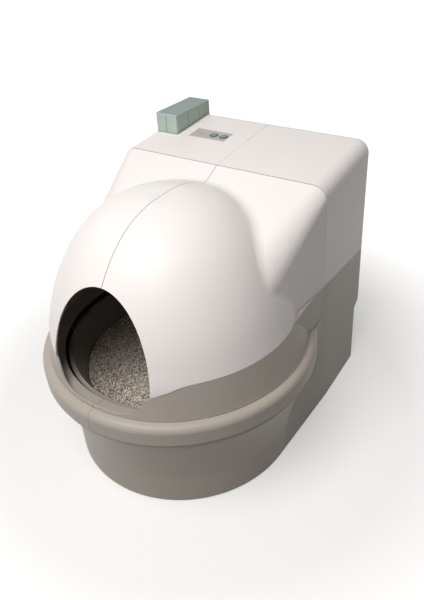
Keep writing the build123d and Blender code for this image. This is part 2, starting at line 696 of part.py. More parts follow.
def granules():
    """Bed of loose granules, lying in the bowl and raked lower in a ring."""
    gap = SEAT_GAP
    floor = BOWL_FLOOR_Z + gap
    lean = (BOWL_R - 7 - BOWL_FLOOR_R) / BOWL_DEPTH
    edge = BOWL_FLOOR_R + lean * (BED_EDGE_Z - BOWL_FLOOR_Z) - 1.5 * gap
    points = [
        (0, floor + CONE_H),
        (22 + gap, floor + CONE_H),
        (38 + gap, floor),
        (BOWL_FLOOR_R - gap, floor),
        (edge, BED_EDGE_Z),
        (BOWL_FLOOR_R - 30, BED_Z),
        (60, BED_Z),
        (0, BED_Z + 4),
    ]
    return turned(points, {1: 8, 2: 8, 3: 33.5, 5: 60, 6: 60})


def gear_face(teeth):
    """Involute spur gear outline."""
    pitch = MODULE * teeth / 2
    pressure = radians(20)
    base = pitch * cos(pressure)
    tip = pitch + 0.9 * MODULE
    root = pitch - 1.2 * MODULE
    half = pi / (2 * teeth) - BACKLASH / (4 * pitch) + tan(pressure) - pressure
    points = []
    for k in range(teeth):
        mid = 2 * pi * k / teeth
        flank = []
        for step in range(5):
            r = max(base, root) + (tip - max(base, root)) * step / 4
            turn = acos(base / r)
            flank.append((r, half - tan(turn) + turn))
        if root < base:
            flank.insert(0, (root, flank[0][1]))
        for r, a in flank:
            points.append((r * cos(mid - a), r * sin(mid - a)))
        for r, a in reversed(flank):
            points.append((r * cos(mid + a), r * sin(mid + a)))
    return make_face(Polyline(*points, close=True))


def bowl_gear():
    """Toothed wheel under the deck, dished and pierced to save weight."""
    wheel = Pos(0, BOWL_Y, GEAR_Z0) * extrude(gear_face(GEAR_TEETH), GEAR_T)
    rim = MODULE * GEAR_TEETH / 2 - 8
    pocket = [(20, 3), (rim, 3), (rim, GEAR_T + 1), (20, GEAR_T + 1)]
    wheel -= turned([(r, GEAR_Z0 + z) for r, z in pocket])
    wheel -= Pos(0, BOWL_Y, GEAR_Z0 - 5) * extrude(around(38, 6, Circle(9)), 30)
    return wheel - rod(SPINDLE_R + KEY_FIT, (0, BOWL_Y, 20), (0, BOWL_Y, 80))


def drive_spindle():
    """Upright spindle with a collar on the deck boss and a hexagonal head."""
    shaft = rod(SPINDLE_R, (0, BOWL_Y, GEAR_Z0 - 4), (0, BOWL_Y, HUB_Z))
    shaft += rod(14, (0, BOWL_Y, HUB_Z - COLLAR_H + SEAT_GAP), (0, BOWL_Y, HUB_Z))
    head = Pos(0, BOWL_Y, HUB_Z) * extrude(RegularPolygon(HEX_FLAT / 2, 6, major_radius=False), 14)
    return shaft + head


def pinion_y():
    return BOWL_Y + MODULE * (GEAR_TEETH + PINION_TEETH) / 2


def drive_pinion():
    """Pinion turned half a tooth so that it meshes at rest, with its motor shaft."""
    y = pinion_y()
    turn = 90 + 180 / PINION_TEETH
    wheel = Pos(0, y, GEAR_Z0 - 0.5) * Rot(0, 0, turn) * extrude(gear_face(PINION_TEETH), GEAR_T + 1)
    return wheel + rod(3, (0, y, GEAR_Z0 - 22), (0, y, GEAR_Z0))


def drive_motor():
    """Gearmotor hung from the deck on three posts."""
    y = pinion_y()
    plate_z = GEAR_Z0 - 5
    can = fillet(rod(22, (0, y, 8), (0, y, plate_z)).edges().sort_by(Axis.Z)[0], 3)
    plate = Pos(0, y + 14, plate_z - 1) * extrude(RectangleRounded(72, 76, 10), 3.5)
    body = can + plate
    for x, dy in ((-28, 12), (28, 12), (0, 44)):
        body += rod(4.5, (x, y + dy, plate_z), (x, y + dy, DECK_Z - DECK_T - SEAT_GAP))
    return body - rod(3 + RUN_FIT, (0, y, GEAR_Z0 - 23), (0, y, 80))


# Arm with scoop, built pointing along +Y and then turned up to the parked direction

def parked(part):
    return Pos(0, PIVOT_Y, PIVOT_Z) * Rot(PARK_DEG, 0, 0) * part


def arm():
    """Tapered beam with hollowed sides and a hub on the arm shaft."""
    side = [(0, -13), (ARM_L - 8, -8), (ARM_L, -8), (ARM_L, 8), (ARM_L - 8, 8), (0, 13)]
    beam = Pos(-13, 0, 0) * extrude(Plane.YZ * outline(side, {1: 20, 4: 20}), 26)
    pocket = [(20, -8), (ARM_L - 12, -4.5), (ARM_L - 12, 4.5), (20, 8)]
    web = extrude(Plane.YZ * outline(pocket, {0: 3, 1: 3, 2: 3, 3: 3}), 20)
    beam -= both_sides(Pos(4, 0, 0) * web)
    beam += rod(14, (-30, 0, 0), (30, 0, 0))
    return parked(beam - rod(SHAFT_R + KEY_FIT, (-40, 0, 0), (40, 0, 0)))


def scoop():
    """Cross bar with a comb of bent tines."""
    start = ARM_L + SEAT_GAP
    bar = Pos(0, start + 6, 0) * Box(2 * SCOOP_HALF, 12, 16)
    bar = fillet(bar.edges().filter_by(Axis.X), 3)
    a = radians(TINE_DEG)
    tip = (start + 6 + TINE_L * cos(a), TINE_L * sin(a))
    along = (cos(a), sin(a))
    across = (-sin(a), cos(a))
    points = [
        (start + 3, -6),
        (start + 12, -5),
        (tip[0] - 1.2 * across[0], tip[1] - 1.2 * across[1]),
        (tip[0] + 1.2 * across[0], tip[1] + 1.2 * across[1]),
        (start + 8 + 6 * along[0], 6 + 6 * along[1]),
        (start + 3, 6),
    ]
    tine = extrude(Plane.YZ * outline(points, {1: 14, 4: 10}), TINE_W)
    pitch = (2 * SCOOP_HALF - TINE_W) / (TINE_N - 1)
    for k in range(TINE_N):
        bar += Pos(-SCOOP_HALF + k * pitch, 0, 0) * tine
    return parked(bar)


def arm_shaft():
    left = -(CHEEK_X + CHEEK_T + 4)
    return rod(SHAFT_R, (left, PIVOT_Y, PIVOT_Z), (CHEEK_X + CHEEK_T + 26, PIVOT_Y, PIVOT_Z))


def arm_bracket():
    """Two cheeks behind the front panel that carry the arm shaft."""
    back = PANEL_FACE_Y + WALL + SEAT_GAP
    points = [
        (back, PIVOT_Z - 24),
        (PIVOT_Y, PIVOT_Z - 17),
        (PIVOT_Y + 17, PIVOT_Z - 17),
        (PIVOT_Y + 17, PIVOT_Z + 17),
        (PIVOT_Y, PIVOT_Z + 17),
        (back, PIVOT_Z + 32),
    ]
    cheek = extrude(Plane.YZ * outline(points, {2: 16, 3: 16}), CHEEK_T)
    cheek = Pos(CHEEK_X, 0, 0) * cheek
    cheek += block(CHEEK_X - 12, CHEEK_X + CHEEK_T, back, back + 4, PIVOT_Z - 24, PIVOT_Z + 32)
    cheek -= rod(SHAFT_R + RUN_FIT, (CHEEK_X - 20, PIVOT_Y, PIVOT_Z), (CHEEK_X + 20, PIVOT_Y, PIVOT_Z))
    return Compound(children=[cheek, mirror(cheek, Plane.YZ)])


def arm_motor():
    """Gearbox and motor beside the right cheek."""
    x0 = CHEEK_X + CHEEK_T + SEAT_GAP
    box = Pos(x0 + 18, PIVOT_Y, PIVOT_Z + 1) * Box(36, 50, 44)
    box = fillet(box.edges().filter_by(Axis.X), 6)
    box += rod(15, (x0 + 35, PIVOT_Y, PIVOT_Z), (x0 + 82, PIVOT_Y, PIVOT_Z))
    return box - rod(SHAFT_R + RUN_FIT, (x0 - 1, PIVOT_Y, PIVOT_Z), (x0 + 28, PIVOT_Y, PIVOT_Z))


# Waste, water and air

def volute_top():
    return DECK_Z + SEAT_GAP + VOLUTE_H


def pump_form():
    """Round pump chamber with its cover and an outlet towards the rear."""
    low = DECK_Z + SEAT_GAP
    top = volute_top()
    collar = NECK_R + 6
    points = [(0, low), (VOLUTE_R, low), (VOLUTE_R, top), (collar, top), (collar, top + 8), (0, top + 8)]
    body = turned(points, {2: 6}, y=PUMP_Y)
    body += rod(12, (DRAIN_X, PUMP_Y, DRAIN_Z), (DRAIN_X, LOW_BACK_Y - 10.5, DRAIN_Z))
    body -= turned([(0, low + 4), (VOLUTE_R - 4, low + 4), (VOLUTE_R - 4, top - 4), (0, top - 4)], y=PUMP_Y)
    body -= rod(NECK_R + SEAT_GAP, (0, PUMP_Y, top - 5), (0, PUMP_Y, top + 20))
    body -= rod(DRAIN_BORE_R, (DRAIN_X, PUMP_Y + 8, DRAIN_Z), (DRAIN_X, LOW_BACK_Y, DRAIN_Z))
    return body - rod(4 + RUN_FIT, (0, PUMP_Y, low - 5), (0, PUMP_Y, low + 10))


def pump_volute():
    """Pump chamber, open at the top."""
    return pump_form() & block(-FAR, FAR, -FAR, FAR, 0, volute_top() - COVER_SKIRT)


def pump_cover():
    """Pump cover with the collar that takes the hopper's outlet."""
    return pump_form() & block(-FAR, FAR, -FAR, FAR, volute_top() - COVER_SKIRT + SEAT_GAP, FAR)


def hopper_outlet():
    """Sleeve between the funnel and the pump cover's collar."""
    low = volute_top()
    high = low + OUTLET_L - SEAT_GAP
    sleeve = rod(NECK_R, (0, PUMP_Y, low), (0, PUMP_Y, high))
    return sleeve - rod(NECK_R - HOPPER_WALL, (0, PUMP_Y, low - 1), (0, PUMP_Y, high + 1))


def hopper():
    """Funnel from the wide mouth under the arm down to its outlet."""
    low = volute_top() + OUTLET_L
    out = HOPPER_WALL

    def funnel(grow):
        wide = RectangleRounded(2 * (HOPPER_HALF_X + grow), 2 * (HOPPER_HALF_Y + grow), 22 + grow)
        tight = NECK_R - out + grow
        neck = RectangleRounded(2 * tight, 2 * tight, tight - 0.1)
        return loft([Pos(0, HOPPER_Y, HOPPER_TOP_Z) * wide, Pos(0, PUMP_Y, low) * neck], ruled=True)

    rim = RectangleRounded(2 * HOPPER_HALF_X + 16, 2 * HOPPER_HALF_Y + 16, 28)
    body = funnel(out) + Pos(0, HOPPER_Y, HOPPER_TOP_Z - 3) * extrude(rim, 3)
    body -= funnel(0)
    return body - Pos(0, HOPPER_Y, HOPPER_TOP_Z) * extrude(RectangleRounded(300, 300, 10), 50)


def impeller():
    """Open six-vane impeller on the pump motor's shaft."""
    low = DECK_Z + SEAT_GAP + 6
    points = [(0, low), (40, low), (40, low + 3), (9, low + 3), (9, low + 20), (0, low + 20)]
    wheel = turned(points, {4: 3}, y=PUMP_Y)
    vane = Pos(23, 4) * Rot(0, 0, 28) * Rectangle(32, 2.6)
    wheel += Pos(0, PUMP_Y, low + 2) * extrude(around(0, 6, vane), 15)
    return wheel + rod(4, (0, PUMP_Y, DECK_Z - 28), (0, PUMP_Y, low + 1))


def pump_motor():
    """Pump motor hung below the deck."""
    top = DECK_Z - DECK_T - SEAT_GAP
    body = turned([(0, 12), (28, 12), (28, top - 4), (34, top - 4), (34, top), (0, top)], {1: 4}, y=PUMP_Y)
    return body - rod(4 + RUN_FIT, (0, PUMP_Y, DECK_Z - 29), (0, PUMP_Y, DECK_Z))


def along_y(points, x, z):
    """Body turned about a line along Y from (radius, y) points."""
    return Pos(x, 0, z) * revolve(make_face(Polyline(*points, close=True)), Axis.Y)


def drain_spigot():
    """Plain spigot for a clamped drain hose."""
    y = LOW_BACK_Y
    flange = DRAIN_R + 6
    points = [
        (DRAIN_BORE_R, y - 10.2),
        (DRAIN_R, y - 10.2),
        (DRAIN_R, y + SEAT_GAP),
        (flange, y + SEAT_GAP),
        (flange, y + 4),
        (DRAIN_R, y + 4),
        (DRAIN_R, y + 26),
        (DRAIN_R - 1, y + 27),
        (DRAIN_BORE_R, y + 27),
    ]
    return along_y(points, DRAIN_X, DRAIN_Z)


def water_valve():
    """Inlet valve with a threaded hose stub and its coil."""
    y = LOW_BACK_Y
    body = block(VALVE_X - 18, VALVE_X + 18, y - 45, y - WALL - SEAT_GAP, VALVE_Z - 18, VALVE_Z + 22)
    body = fillet(body.edges().filter_by(Axis.Y), 4)
    core = INLET_R
    crest = INLET_R + THREAD_H
    points = [(0, y - 10), (core + 1, y - 10), (core + 1, y + SEAT_GAP), (core + 6, y + SEAT_GAP)]
    points += [(core + 6, y + 4), (core, y + 4)]
    for k in range(6):
        turn = y + 6 + 3 * k
        points += [(core, turn), (crest, turn + 1), (crest, turn + 2)]
    points += [(core, y + 24), (core, y + 26), (0, y + 26)]
    body += along_y(points, VALVE_X, VALVE_Z)
    body += rod(13, (VALVE_X, y - 24, VALVE_Z + 20), (VALVE_X, y - 24, VALVE_Z + 48))
    body += rod(TUBE_R, (VALVE_X, y - 50, VALVE_Z), (VALVE_X, y - 44, VALVE_Z))
    return body - rod(INLET_BORE_R, (VALVE_X, y, VALVE_Z), (VALVE_X, y + 40, VALVE_Z))


def tube(points):
    """Hose swept along straight runs with rounded bends."""
    path = FilletPolyline(*points, radius=TUBE_BEND)
    start = Plane(path @ 0, z_dir=path % 0)
    return sweep(start * (Circle(TUBE_R) - Circle(TUBE_BORE_R)), path)


def fill_tube():
    y = LOW_BACK_Y - 50 - SEAT_GAP
    points = [(VALVE_X, y, VALVE_Z), (VALVE_X, y - 32, VALVE_Z), (VALVE_X, y - 32, SPOUT_Z)]
    points += [(VALVE_X, SPOUT_Y, SPOUT_Z), (VALVE_X, SPOUT_Y, SPOUT_Z - 18)]
    return tube(points)


def dosing_tube():
    top = CART_LOW_Z - 17 - 2 * SEAT_GAP
    level = SPOUT_Z + 3
    points = [(CART_X, CART_Y, top), (CART_X, CART_Y, level), (-VALVE_X - 4, SPOUT_Y, level)]
    points += [(-VALVE_X - 4, SPOUT_Y, level - 18)]
    return tube(points)


def power_gland():
    """Grommet for the mains cord."""
    y = LOW_BACK_Y
    inner = y - WALL - SEAT_GAP
    outer = y + SEAT_GAP
    flange = GLAND_R + 4
    points = [(CORD_BORE_R, y - 8), (flange - 1, y - 8), (flange, inner), (GLAND_R, inner)]
    points += [(GLAND_R, outer), (flange, outer), (flange, y + 3), (flange - 2, y + 5), (CORD_BORE_R, y + 5)]
    return along_y(points, GLAND_X, GLAND_Z)


def scroll(radius, z0, z1, y0):
    """Round scroll with a straight outlet towards the front."""
    flow = Pos((y0 + BLOWER_Y) / 2, (z0 + z1) / 2) * Rectangle(BLOWER_Y - y0, z1 - z0)
    return Plane.YZ * (Pos(BLOWER_Y, BLOWER_Z) * Circle(radius) + flow)


def blower_housing():
    """Scroll that blows through the panel's air slots."""
    front = PANEL_FACE_Y + WALL + SEAT_GAP
    low = BLOWER_Z - BLOWER_R
    body = Pos(BLOWER_X, 0, 0) * extrude(scroll(BLOWER_R, low, low + 28, front), BLOWER_W)
    hollow = extrude(scroll(BLOWER_R - 2, low + 2, low + 26, front - 10), BLOWER_W - 4)
    body -= Pos(BLOWER_X + 2, 0, 0) * hollow
    spot = (BLOWER_Y, BLOWER_Z)
    body -= rod(24, (BLOWER_X - 5, *spot), (BLOWER_X + 5, *spot))
    return body - rod(4, (BLOWER_X + BLOWER_W - 5, *spot), (BLOWER_X + BLOWER_W + 5, *spot))


def blower_fan():
    """Drum fan with leaning blades on its motor shaft."""
    def ring(outer, inner, x0, x1):
        face = Circle(outer) - Circle(inner) if inner else Circle(outer)
        return Pos(x0, 0, 0) * extrude(Plane.YZ * face, x1 - x0)

    blade = Pos(32, 0) * Rot(0, 0, 40) * Rectangle(9, 1.2)
    wheel = Pos(6, 0, 0) * extrude(Plane.YZ * around(0, FAN_BLADES, blade), 22)
    wheel += ring(FAN_R, 30, 5, 7) + ring(FAN_R, 0, 27, 29) + ring(7, 0, 20, 28)
    wheel += ring(2.5, 0, 27, BLOWER_W + 18)
    return Pos(BLOWER_X, BLOWER_Y, BLOWER_Z) * wheel


def blower_motor():
    """Small motor on the blower's outer side."""
    x0 = BLOWER_X + BLOWER_W + SEAT_GAP
    spot = (BLOWER_Y, BLOWER_Z)
    can = rod(18, (x0, *spot), (x0 + 36, *spot))
    can = fillet(can.edges().sort_by(Axis.X)[-1], 3)
    return can - rod(2.5 + RUN_FIT, (x0 - 1, *spot), (x0 + 20, *spot))


def main():
    os.makedirs("parts", exist_ok=True)
    wall = right_half(side_walls()) - block(-1, SEAM_GAP / 2, -FAR, FAR, 0, FAR)
    dome = Pos(SEAM_GAP / 2, 0, 0) * right_half(hood())
    nodes = {
        "base_shell": base_shell(),
        "wash_deck": wash_deck(),
        "pan_wall": pan_wall(),
        "base_feet": base_feet(),
        "side_wall_right": wall,
        "side_wall_left": mirror(wall, Plane.YZ),
        "hood_right": dome,
        "hood_left": mirror(dome, Plane.YZ),
        "housing_cover": housing_cover(),
        "front_panel": front_panel(),
        "control_board": control_board(),
        "control_panel": control_panel(),
        "button_start": button(BUTTON_X[0]),
        "button_mode": button(BUTTON_X[1]),
        "cartridge": cartridge(),
        "cartridge_dock": cartridge_dock(),
        "bowl": bowl(),
        "granules": granules(),
        "bowl_gear": bowl_gear(),
        "drive_spindle": drive_spindle(),
        "drive_pinion": drive_pinion(),
        "drive_motor": drive_motor(),
        "arm": arm(),
        "scoop": scoop(),
        "arm_shaft": arm_shaft(),
        "arm_bracket": arm_bracket(),
        "arm_motor": arm_motor(),
        "hopper": hopper(),
        "hopper_outlet": hopper_outlet(),
        "pump_volute": pump_volute(),
        "pump_cover": pump_cover(),
        "impeller": impeller(),
        "pump_motor": pump_motor(),
        "drain_spigot": drain_spigot(),
        "water_valve": water_valve(),
        "fill_tube": fill_tube(),
        "dosing_tube": dosing_tube(),
        "power_gland": power_gland(),
        "blower_housing": blower_housing(),
        "blower_fan": blower_fan(),
        "blower_motor": blower_motor(),
    }
    for name, shape in nodes.items():
        export_step(shape, f"parts/{name}.step")
        print(name, round(shape.volume / 1000, 1), len(shape.solids()), shape.is_valid)


if __name__ == "__main__":
    main()
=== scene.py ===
"""Finishes, granules, small trim and studio for a hooded self-washing cat litter box."""
import math
import random

import bmesh
import bpy
from bpy.props import FloatProperty, FloatVectorProperty, IntProperty, PointerProperty
from mathutils import Matrix, Vector
from mathutils.bvhtree import BVHTree


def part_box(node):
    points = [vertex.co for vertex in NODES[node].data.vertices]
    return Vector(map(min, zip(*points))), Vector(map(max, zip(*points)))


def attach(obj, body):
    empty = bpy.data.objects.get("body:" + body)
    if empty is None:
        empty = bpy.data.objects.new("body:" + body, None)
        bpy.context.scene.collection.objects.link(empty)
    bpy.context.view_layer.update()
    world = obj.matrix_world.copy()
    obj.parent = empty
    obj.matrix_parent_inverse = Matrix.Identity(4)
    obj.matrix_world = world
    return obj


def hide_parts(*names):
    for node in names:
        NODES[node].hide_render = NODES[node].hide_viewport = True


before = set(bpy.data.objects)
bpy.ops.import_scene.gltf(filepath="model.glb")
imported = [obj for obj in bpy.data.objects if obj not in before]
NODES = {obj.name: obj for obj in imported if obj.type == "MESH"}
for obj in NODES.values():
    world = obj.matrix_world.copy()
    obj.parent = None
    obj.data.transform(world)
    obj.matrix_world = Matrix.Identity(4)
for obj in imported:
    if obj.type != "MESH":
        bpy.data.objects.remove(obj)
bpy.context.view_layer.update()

bl_info = {
    "name": "Hooded Litter Box",
    "version": (1, 0, 0),
    "blender": (4, 5, 0),
    "location": "View3D > Sidebar > Litter Box",
    "description": "Finishes and small pieces for a hooded self-washing cat litter box",
    "category": "Object",
}

PHOTO_WIDTH = 424
PHOTO_HEIGHT = 600
SENSOR = 36.0
FULL_TURN = 2 * math.pi
PLASTIC_SPECULAR = 0.2
LABEL_UPWARD = 0.97


# Settings

def tint(name, description, colour):
    """Colour property."""
    return FloatVectorProperty(
        name=name, description=description, subtype="COLOR", size=3, min=0.0, max=1.0, default=colour
    )


def length(name, description, metres):
    """Length property in metres."""
    return FloatProperty(
        name=name, description=description, default=metres, subtype="DISTANCE", unit="LENGTH"
    )


def angle(name, description, degrees):
    """Angle property, given in degrees and held in radians."""
    return FloatProperty(
        name=name, description=description, default=math.radians(degrees), subtype="ANGLE", unit="ROTATION"
    )


def pixels(name, description, value):
    """Measure in pixels of the photograph."""
    return FloatProperty(name=name, description=description, default=value, subtype="PIXEL")


def number(name, description, value):
    """Plain number property."""
    return FloatProperty(name=name, description=description, default=value)


def count(name, description, value):
    """Whole number property."""
    return IntProperty(name=name, description=description, default=value, min=0)


class FinishSettings(bpy.types.PropertyGroup):
    """Colours of the carried-over pieces and of the painted shade on their seams."""

    hood: tint("Hood", "Hood and housing cover", (0.87, 0.83, 0.815))
    base: tint("Base", "Base and side walls", (0.435, 0.395, 0.35))
    inner: tint("Inner", "Inner panel, cartridge dock and arm bracket", (0.30, 0.28, 0.26))
    plate: tint("Plate", "Control panel", (0.50, 0.45, 0.445))
    cartridge: tint("Cartridge", "Cleaner cartridge", (0.43, 0.53, 0.47))
    cartridge_top: tint("Cartridge top", "Bare label on the cartridge", (0.24, 0.32, 0.32))
    key: tint("Keys", "Round keys", (0.17, 0.265, 0.255))
    bowl: tint("Bowl", "Turning bowl", (0.30, 0.275, 0.25))
    nylon: tint("Nylon", "Gears, impeller and fan", (0.72, 0.70, 0.64))
    arm: tint("Arm", "Rake arm and scoop", (0.30, 0.285, 0.27))
    waste: tint("Waste way", "Hopper, pump, drain and blower housing", (0.09, 0.09, 0.092))
    valve: tint("Valve", "Water valve", (0.70, 0.70, 0.68))
    tube: tint("Tubes", "Fill and dosing tubes", (0.52, 0.55, 0.55))
    rubber: tint("Rubber", "Feet and cord gland", (0.022, 0.022, 0.022))
    board: tint("Board", "Control board", (0.03, 0.13, 0.065))
    steel: tint("Steel", "Ground shafts", (0.60, 0.60, 0.61))
    motor: tint("Motors", "Motor cans", (0.16, 0.16, 0.165))
    # Painted shade: this colour and the width below darken the hood and housing along their seams,
    # standing in for the shadow in the seam gaps.
    painted_seam_shade: tint("Shading", "Dust along the seams", (0.53, 0.50, 0.485))
    seam: length("Seam", "Shaded edge on each side of a seam", 0.0007)


class GranuleSettings(bpy.types.PropertyGroup):
    """Loose granules in the bowl."""

    amount: count("Count", "Granules lying on the bed", 9500)
    seed: count("Seed", "Seed of the scatter", 7)
    radius: length("Radius", "Mean radius of a granule", 0.0019)
    bed_sink: length("Bed sink", "Mean depth of the bed below the granules' solid", 0.0022)
    bed_rough: length("Bed roughness", "Unevenness of the bed", 0.0012)
    bed_depth: length("Bed depth", "Thickness of the bed", 0.006)
    pale: tint("Pale", "Lightest granules", (0.88, 0.80, 0.71))
    dark: tint("Dark", "Darkest granules", (0.17, 0.148, 0.122))


class TrimSettings(bpy.types.PropertyGroup):
    """Small pieces on the panel, the rim and the rear."""

    bezel_bore: length("Bezel bore", "Inner radius of the ring round a key", 0.0068)
    bezel_width: length("Bezel width", "Width of the ring round a key", 0.0024)
    bezel_rise: length("Bezel rise", "Height of the ring round a key", 0.0006)
    bezel_sink: length("Bezel sink", "Foot of the ring below the panel's face", 0.0002)
    bezel: tint("Bezels", "Raised rings round the keys", (0.06, 0.135, 0.13))
    lens_amount: count("Lenses", "Indicator lenses on the control panel", 3)
    lens_radius: length("Lens radius", "Radius of an indicator lens", 0.0014)
    lens_start: length("Lens start", "First lens from the panel's left edge", 0.012)
    lens_pitch: length("Lens pitch", "Distance between two lenses", 0.008)
    lens: tint("Lens", "Indicator lenses", (0.20, 0.34, 0.22))
    screw_radius: length("Screw radius", "Pan head of a case screw", 0.0036)
    screw_across: length("Screw distance", "Outer case screws from the middle", 0.165)
    screw_low: length("Low screws", "Lower screws above the housing's foot", 0.045)
    screw_high: length("High screws", "Upper screws below the housing's top", 0.050)
    screw_sink: length("Screw sink", "Foot of a screw head below the housing's face", 0.0004)
    screw: tint("Screws", "Plated case screws", (0.55, 0.55, 0.56))
    gasket_drop: length("Gasket drop", "Gasket foot below the lower edge of the side walls", 0.00025)
    gasket_depth: length("Gasket depth", "Inner edge of the gasket from the rim", 0.0065)
    gasket_inset: length("Gasket inset", "Outer edge of the gasket from the rim", 0.0031)
    gasket_height: length("Gasket height", "Height of the gasket", 0.0040)
    gasket_stop: length("Gasket stop", "Ends of the side gasket from the rim", 0.0138)
    gasket_back: length("Gasket back", "Start of the rear gasket behind the bowl's middle", 0.1062)
    gasket_end: length("Gasket end", "End of the rear gasket behind the bowl's middle", 0.1215)
    gasket: tint("Gasket", "Foam of the gasket", (0.03, 0.03, 0.03))


class StageSettings(bpy.types.PropertyGroup):
    """Camera, floor and light."""

    azimuth: angle("Azimuth", "Camera place round the object", 37.07)
    elevation: angle("Elevation", "Camera place above the floor", 34.83)
    distance: length("Distance", "Camera to the pivot", 1.0991)
    pivot: length("Pivot height", "Height that camera and key lamp are placed round", 0.25)
    yaw: angle("Yaw", "Heading of the view", 32.52)
    pitch: angle("Pitch", "Downward tilt of the view", 32.95)
    roll: angle("Roll", "Turn of the picture", -2.257)
    focal: pixels("Focal", "Focal length in pixels of the photograph", 580.5)
    centre_x: pixels("Centre X", "Optical centre in pixels", 235.0)
    centre_y: pixels("Centre Y", "Optical centre in pixels", 275.0)
    clip_near: length("Clip near", "Nearest distance that the camera sees", 0.02)
    clip_far: length("Clip far", "Farthest distance that the camera sees", 100.0)
    floor: tint("Floor", "Studio floor as it is seen", (0.56, 0.55, 0.54))
    floor_bounce: tint("Floor bounce", "Studio floor as it lights the object", (0.30, 0.29, 0.29))
    floor_lift: number("Floor lift", "White added to the floor near the object", 0.44)
    floor_start: length("Floor fade start", "Where the floor starts to turn white", 0.42)
    floor_end: length("Floor fade end", "Where the floor is white", 0.95)
    floor_reach: length("Floor reach", "Half the side of the floor", 30.0)
    floor_drop: length("Floor drop", "Floor below the feet", 0.0002)
    sky: number("Sky", "Even light from all round", 0.155)
    sky_tint: tint("Sky tint", "Colour of the sky", (1.0, 0.975, 0.95))
    key_azimuth: angle("Key azimuth", "Key lamp round the object", -2.0)
    key_elevation: angle("Key elevation", "Key lamp above the floor", 58.0)
    key_distance: length("Key distance", "Key lamp to the pivot", 2.1)
    key_size: length("Key size", "Side of the key lamp", 1.4)
    key_power: FloatProperty(
        name="Key power", description="Key lamp in watts", default=43.0, subtype="POWER", unit="POWER"
    )
    key_tint: tint("Key tint", "Colour of the key lamp", (1.0, 0.985, 0.965))


class LitterBoxSettings(bpy.types.PropertyGroup):
    """All settings of the object."""

    finish: PointerProperty(type=FinishSettings)
    granules: PointerProperty(type=GranuleSettings)
    trim: PointerProperty(type=TrimSettings)
    stage: PointerProperty(type=StageSettings)


def settings():
    """The scene's settings for this object."""
    return bpy.context.scene.litter_box


# Materials

def blank(name):
    """New node material with its tree parts."""
    material = bpy.data.materials.new(name)
    material.use_nodes = True
    tree = material.node_tree
    return material, tree.nodes, tree.links, tree.nodes["Principled BSDF"]


def noise(nodes, links, scale, detail, rough=0.5):
    """Noise in object space."""
    place = nodes.new("ShaderNodeTexCoord")
    cloud = nodes.new("ShaderNodeTexNoise")
    cloud.inputs["Scale"].default_value = scale
    cloud.inputs["Detail"].default_value = detail
    cloud.inputs["Roughness"].default_value = rough
    links.new(place.outputs["Object"], cloud.inputs["Vector"])
    return cloud.outputs["Fac"]


def shade(colour, factor):
    """Colour made lighter or darker, as RGBA."""
    return (*[min(1.0, channel * factor) for channel in colour], 1.0)


def two_tone(nodes, links, source, low, high, start=0.3, end=0.7):
    """Ramp between two colours, steered by a grey value."""
    ramp = nodes.new("ShaderNodeValToRGB")
    ramp.color_ramp.elements[0].position = start
    ramp.color_ramp.elements[0].color = low
    ramp.color_ramp.elements[1].position = end
    ramp.color_ramp.elements[1].color = high
    links.new(source, ramp.inputs["Fac"])
    return ramp.outputs["Color"]


def chooser(nodes, links, factor):
    """Mix of its colours A and B, steered by a grey value."""
    mix = nodes.new("ShaderNodeMix")
    mix.data_type = "RGBA"
    links.new(factor, mix.inputs["Factor"])
    return mix


def span(nodes, links, source, low, high):
    """Grey value mapped to a range."""
    scale = nodes.new("ShaderNodeMapRange")
    scale.inputs["To Min"].default_value = low
    scale.inputs["To Max"].default_value = high
    links.new(source, scale.inputs["Value"])
    return scale.outputs["Result"]


def calculate(nodes, links, operation, first, second):
    """Math node on two grey values, the second of which may be a number."""
    node = nodes.new("ShaderNodeMath")
    node.operation = operation
    links.new(first, node.inputs[0])
    if isinstance(second, float):
        node.inputs[1].default_value = second
    else:
        links.new(second, node.inputs[1])
    return node


def raise_grain(nodes, links, surface, source, strength, depth):
    """Surface grain as a small bump."""
    bump = nodes.new("ShaderNodeBump")
    bump.inputs["Strength"].default_value = strength
    bump.inputs["Distance"].default_value = depth
    links.new(source, bump.inputs["Height"])
    links.new(bump.outputs["Normal"], surface.inputs["Normal"])


def moulded(name, colour, roughness, grain=700.0, strength=0.15, drift=0.03):
    """Moulded plastic: slow drift of tone, with fine spark grain in gloss and surface."""
    spread = 0.05
    material, nodes, links, surface = blank(name)
    slow = noise(nodes, links, scale=7.0, detail=3.0)
    tone = two_tone(nodes, links, slow, shade(colour, 1 - drift), shade(colour, 1 + drift))
    links.new(tone, surface.inputs["Base Color"])
    fine = noise(nodes, links, scale=grain, detail=2.0)
    gloss = span(nodes, links, fine, roughness - spread, roughness + spread)
    links.new(gloss, surface.inputs["Roughness"])
    raise_grain(nodes, links, surface, fine, strength, depth=0.0001)
    surface.inputs["Specular IOR Level"].default_value = PLASTIC_SPECULAR
    return material


def near_plane(nodes, links, axis, place, reach):
    """Grey value that is 1 within a reach of a plane across an axis and 0 elsewhere."""
    where = nodes.new("ShaderNodeTexCoord")
    split = nodes.new("ShaderNodeSeparateXYZ")
    links.new(where.outputs["Object"], split.inputs["Vector"])
    close = calculate(nodes, links, "COMPARE", split.outputs[axis], place)
    close.inputs[2].default_value = reach
    return close.outputs["Value"]


def seam_shaded(material, seams, reach, painted_seam_shade):
    """Moulded plastic with a darker colour painted along the seams between shells: painted shade standing
    in for the shadow in the seam gaps.
    """
    nodes, links = material.node_tree.nodes, material.node_tree.links
    surface = nodes["Principled BSDF"]
    # Painted shade: the shade colour replaces the base colour within reach of each seam plane.
    for axis, place in seams:
        unshaded = surface.inputs["Base Color"].links[0].from_socket
        pick = chooser(nodes, links, near_plane(nodes, links, axis, place, reach))
        links.new(unshaded, pick.inputs["A"])
        pick.inputs["B"].default_value = shade(painted_seam_shade, 1.0)
        links.new(pick.outputs["Result"], surface.inputs["Base Color"])
    return material


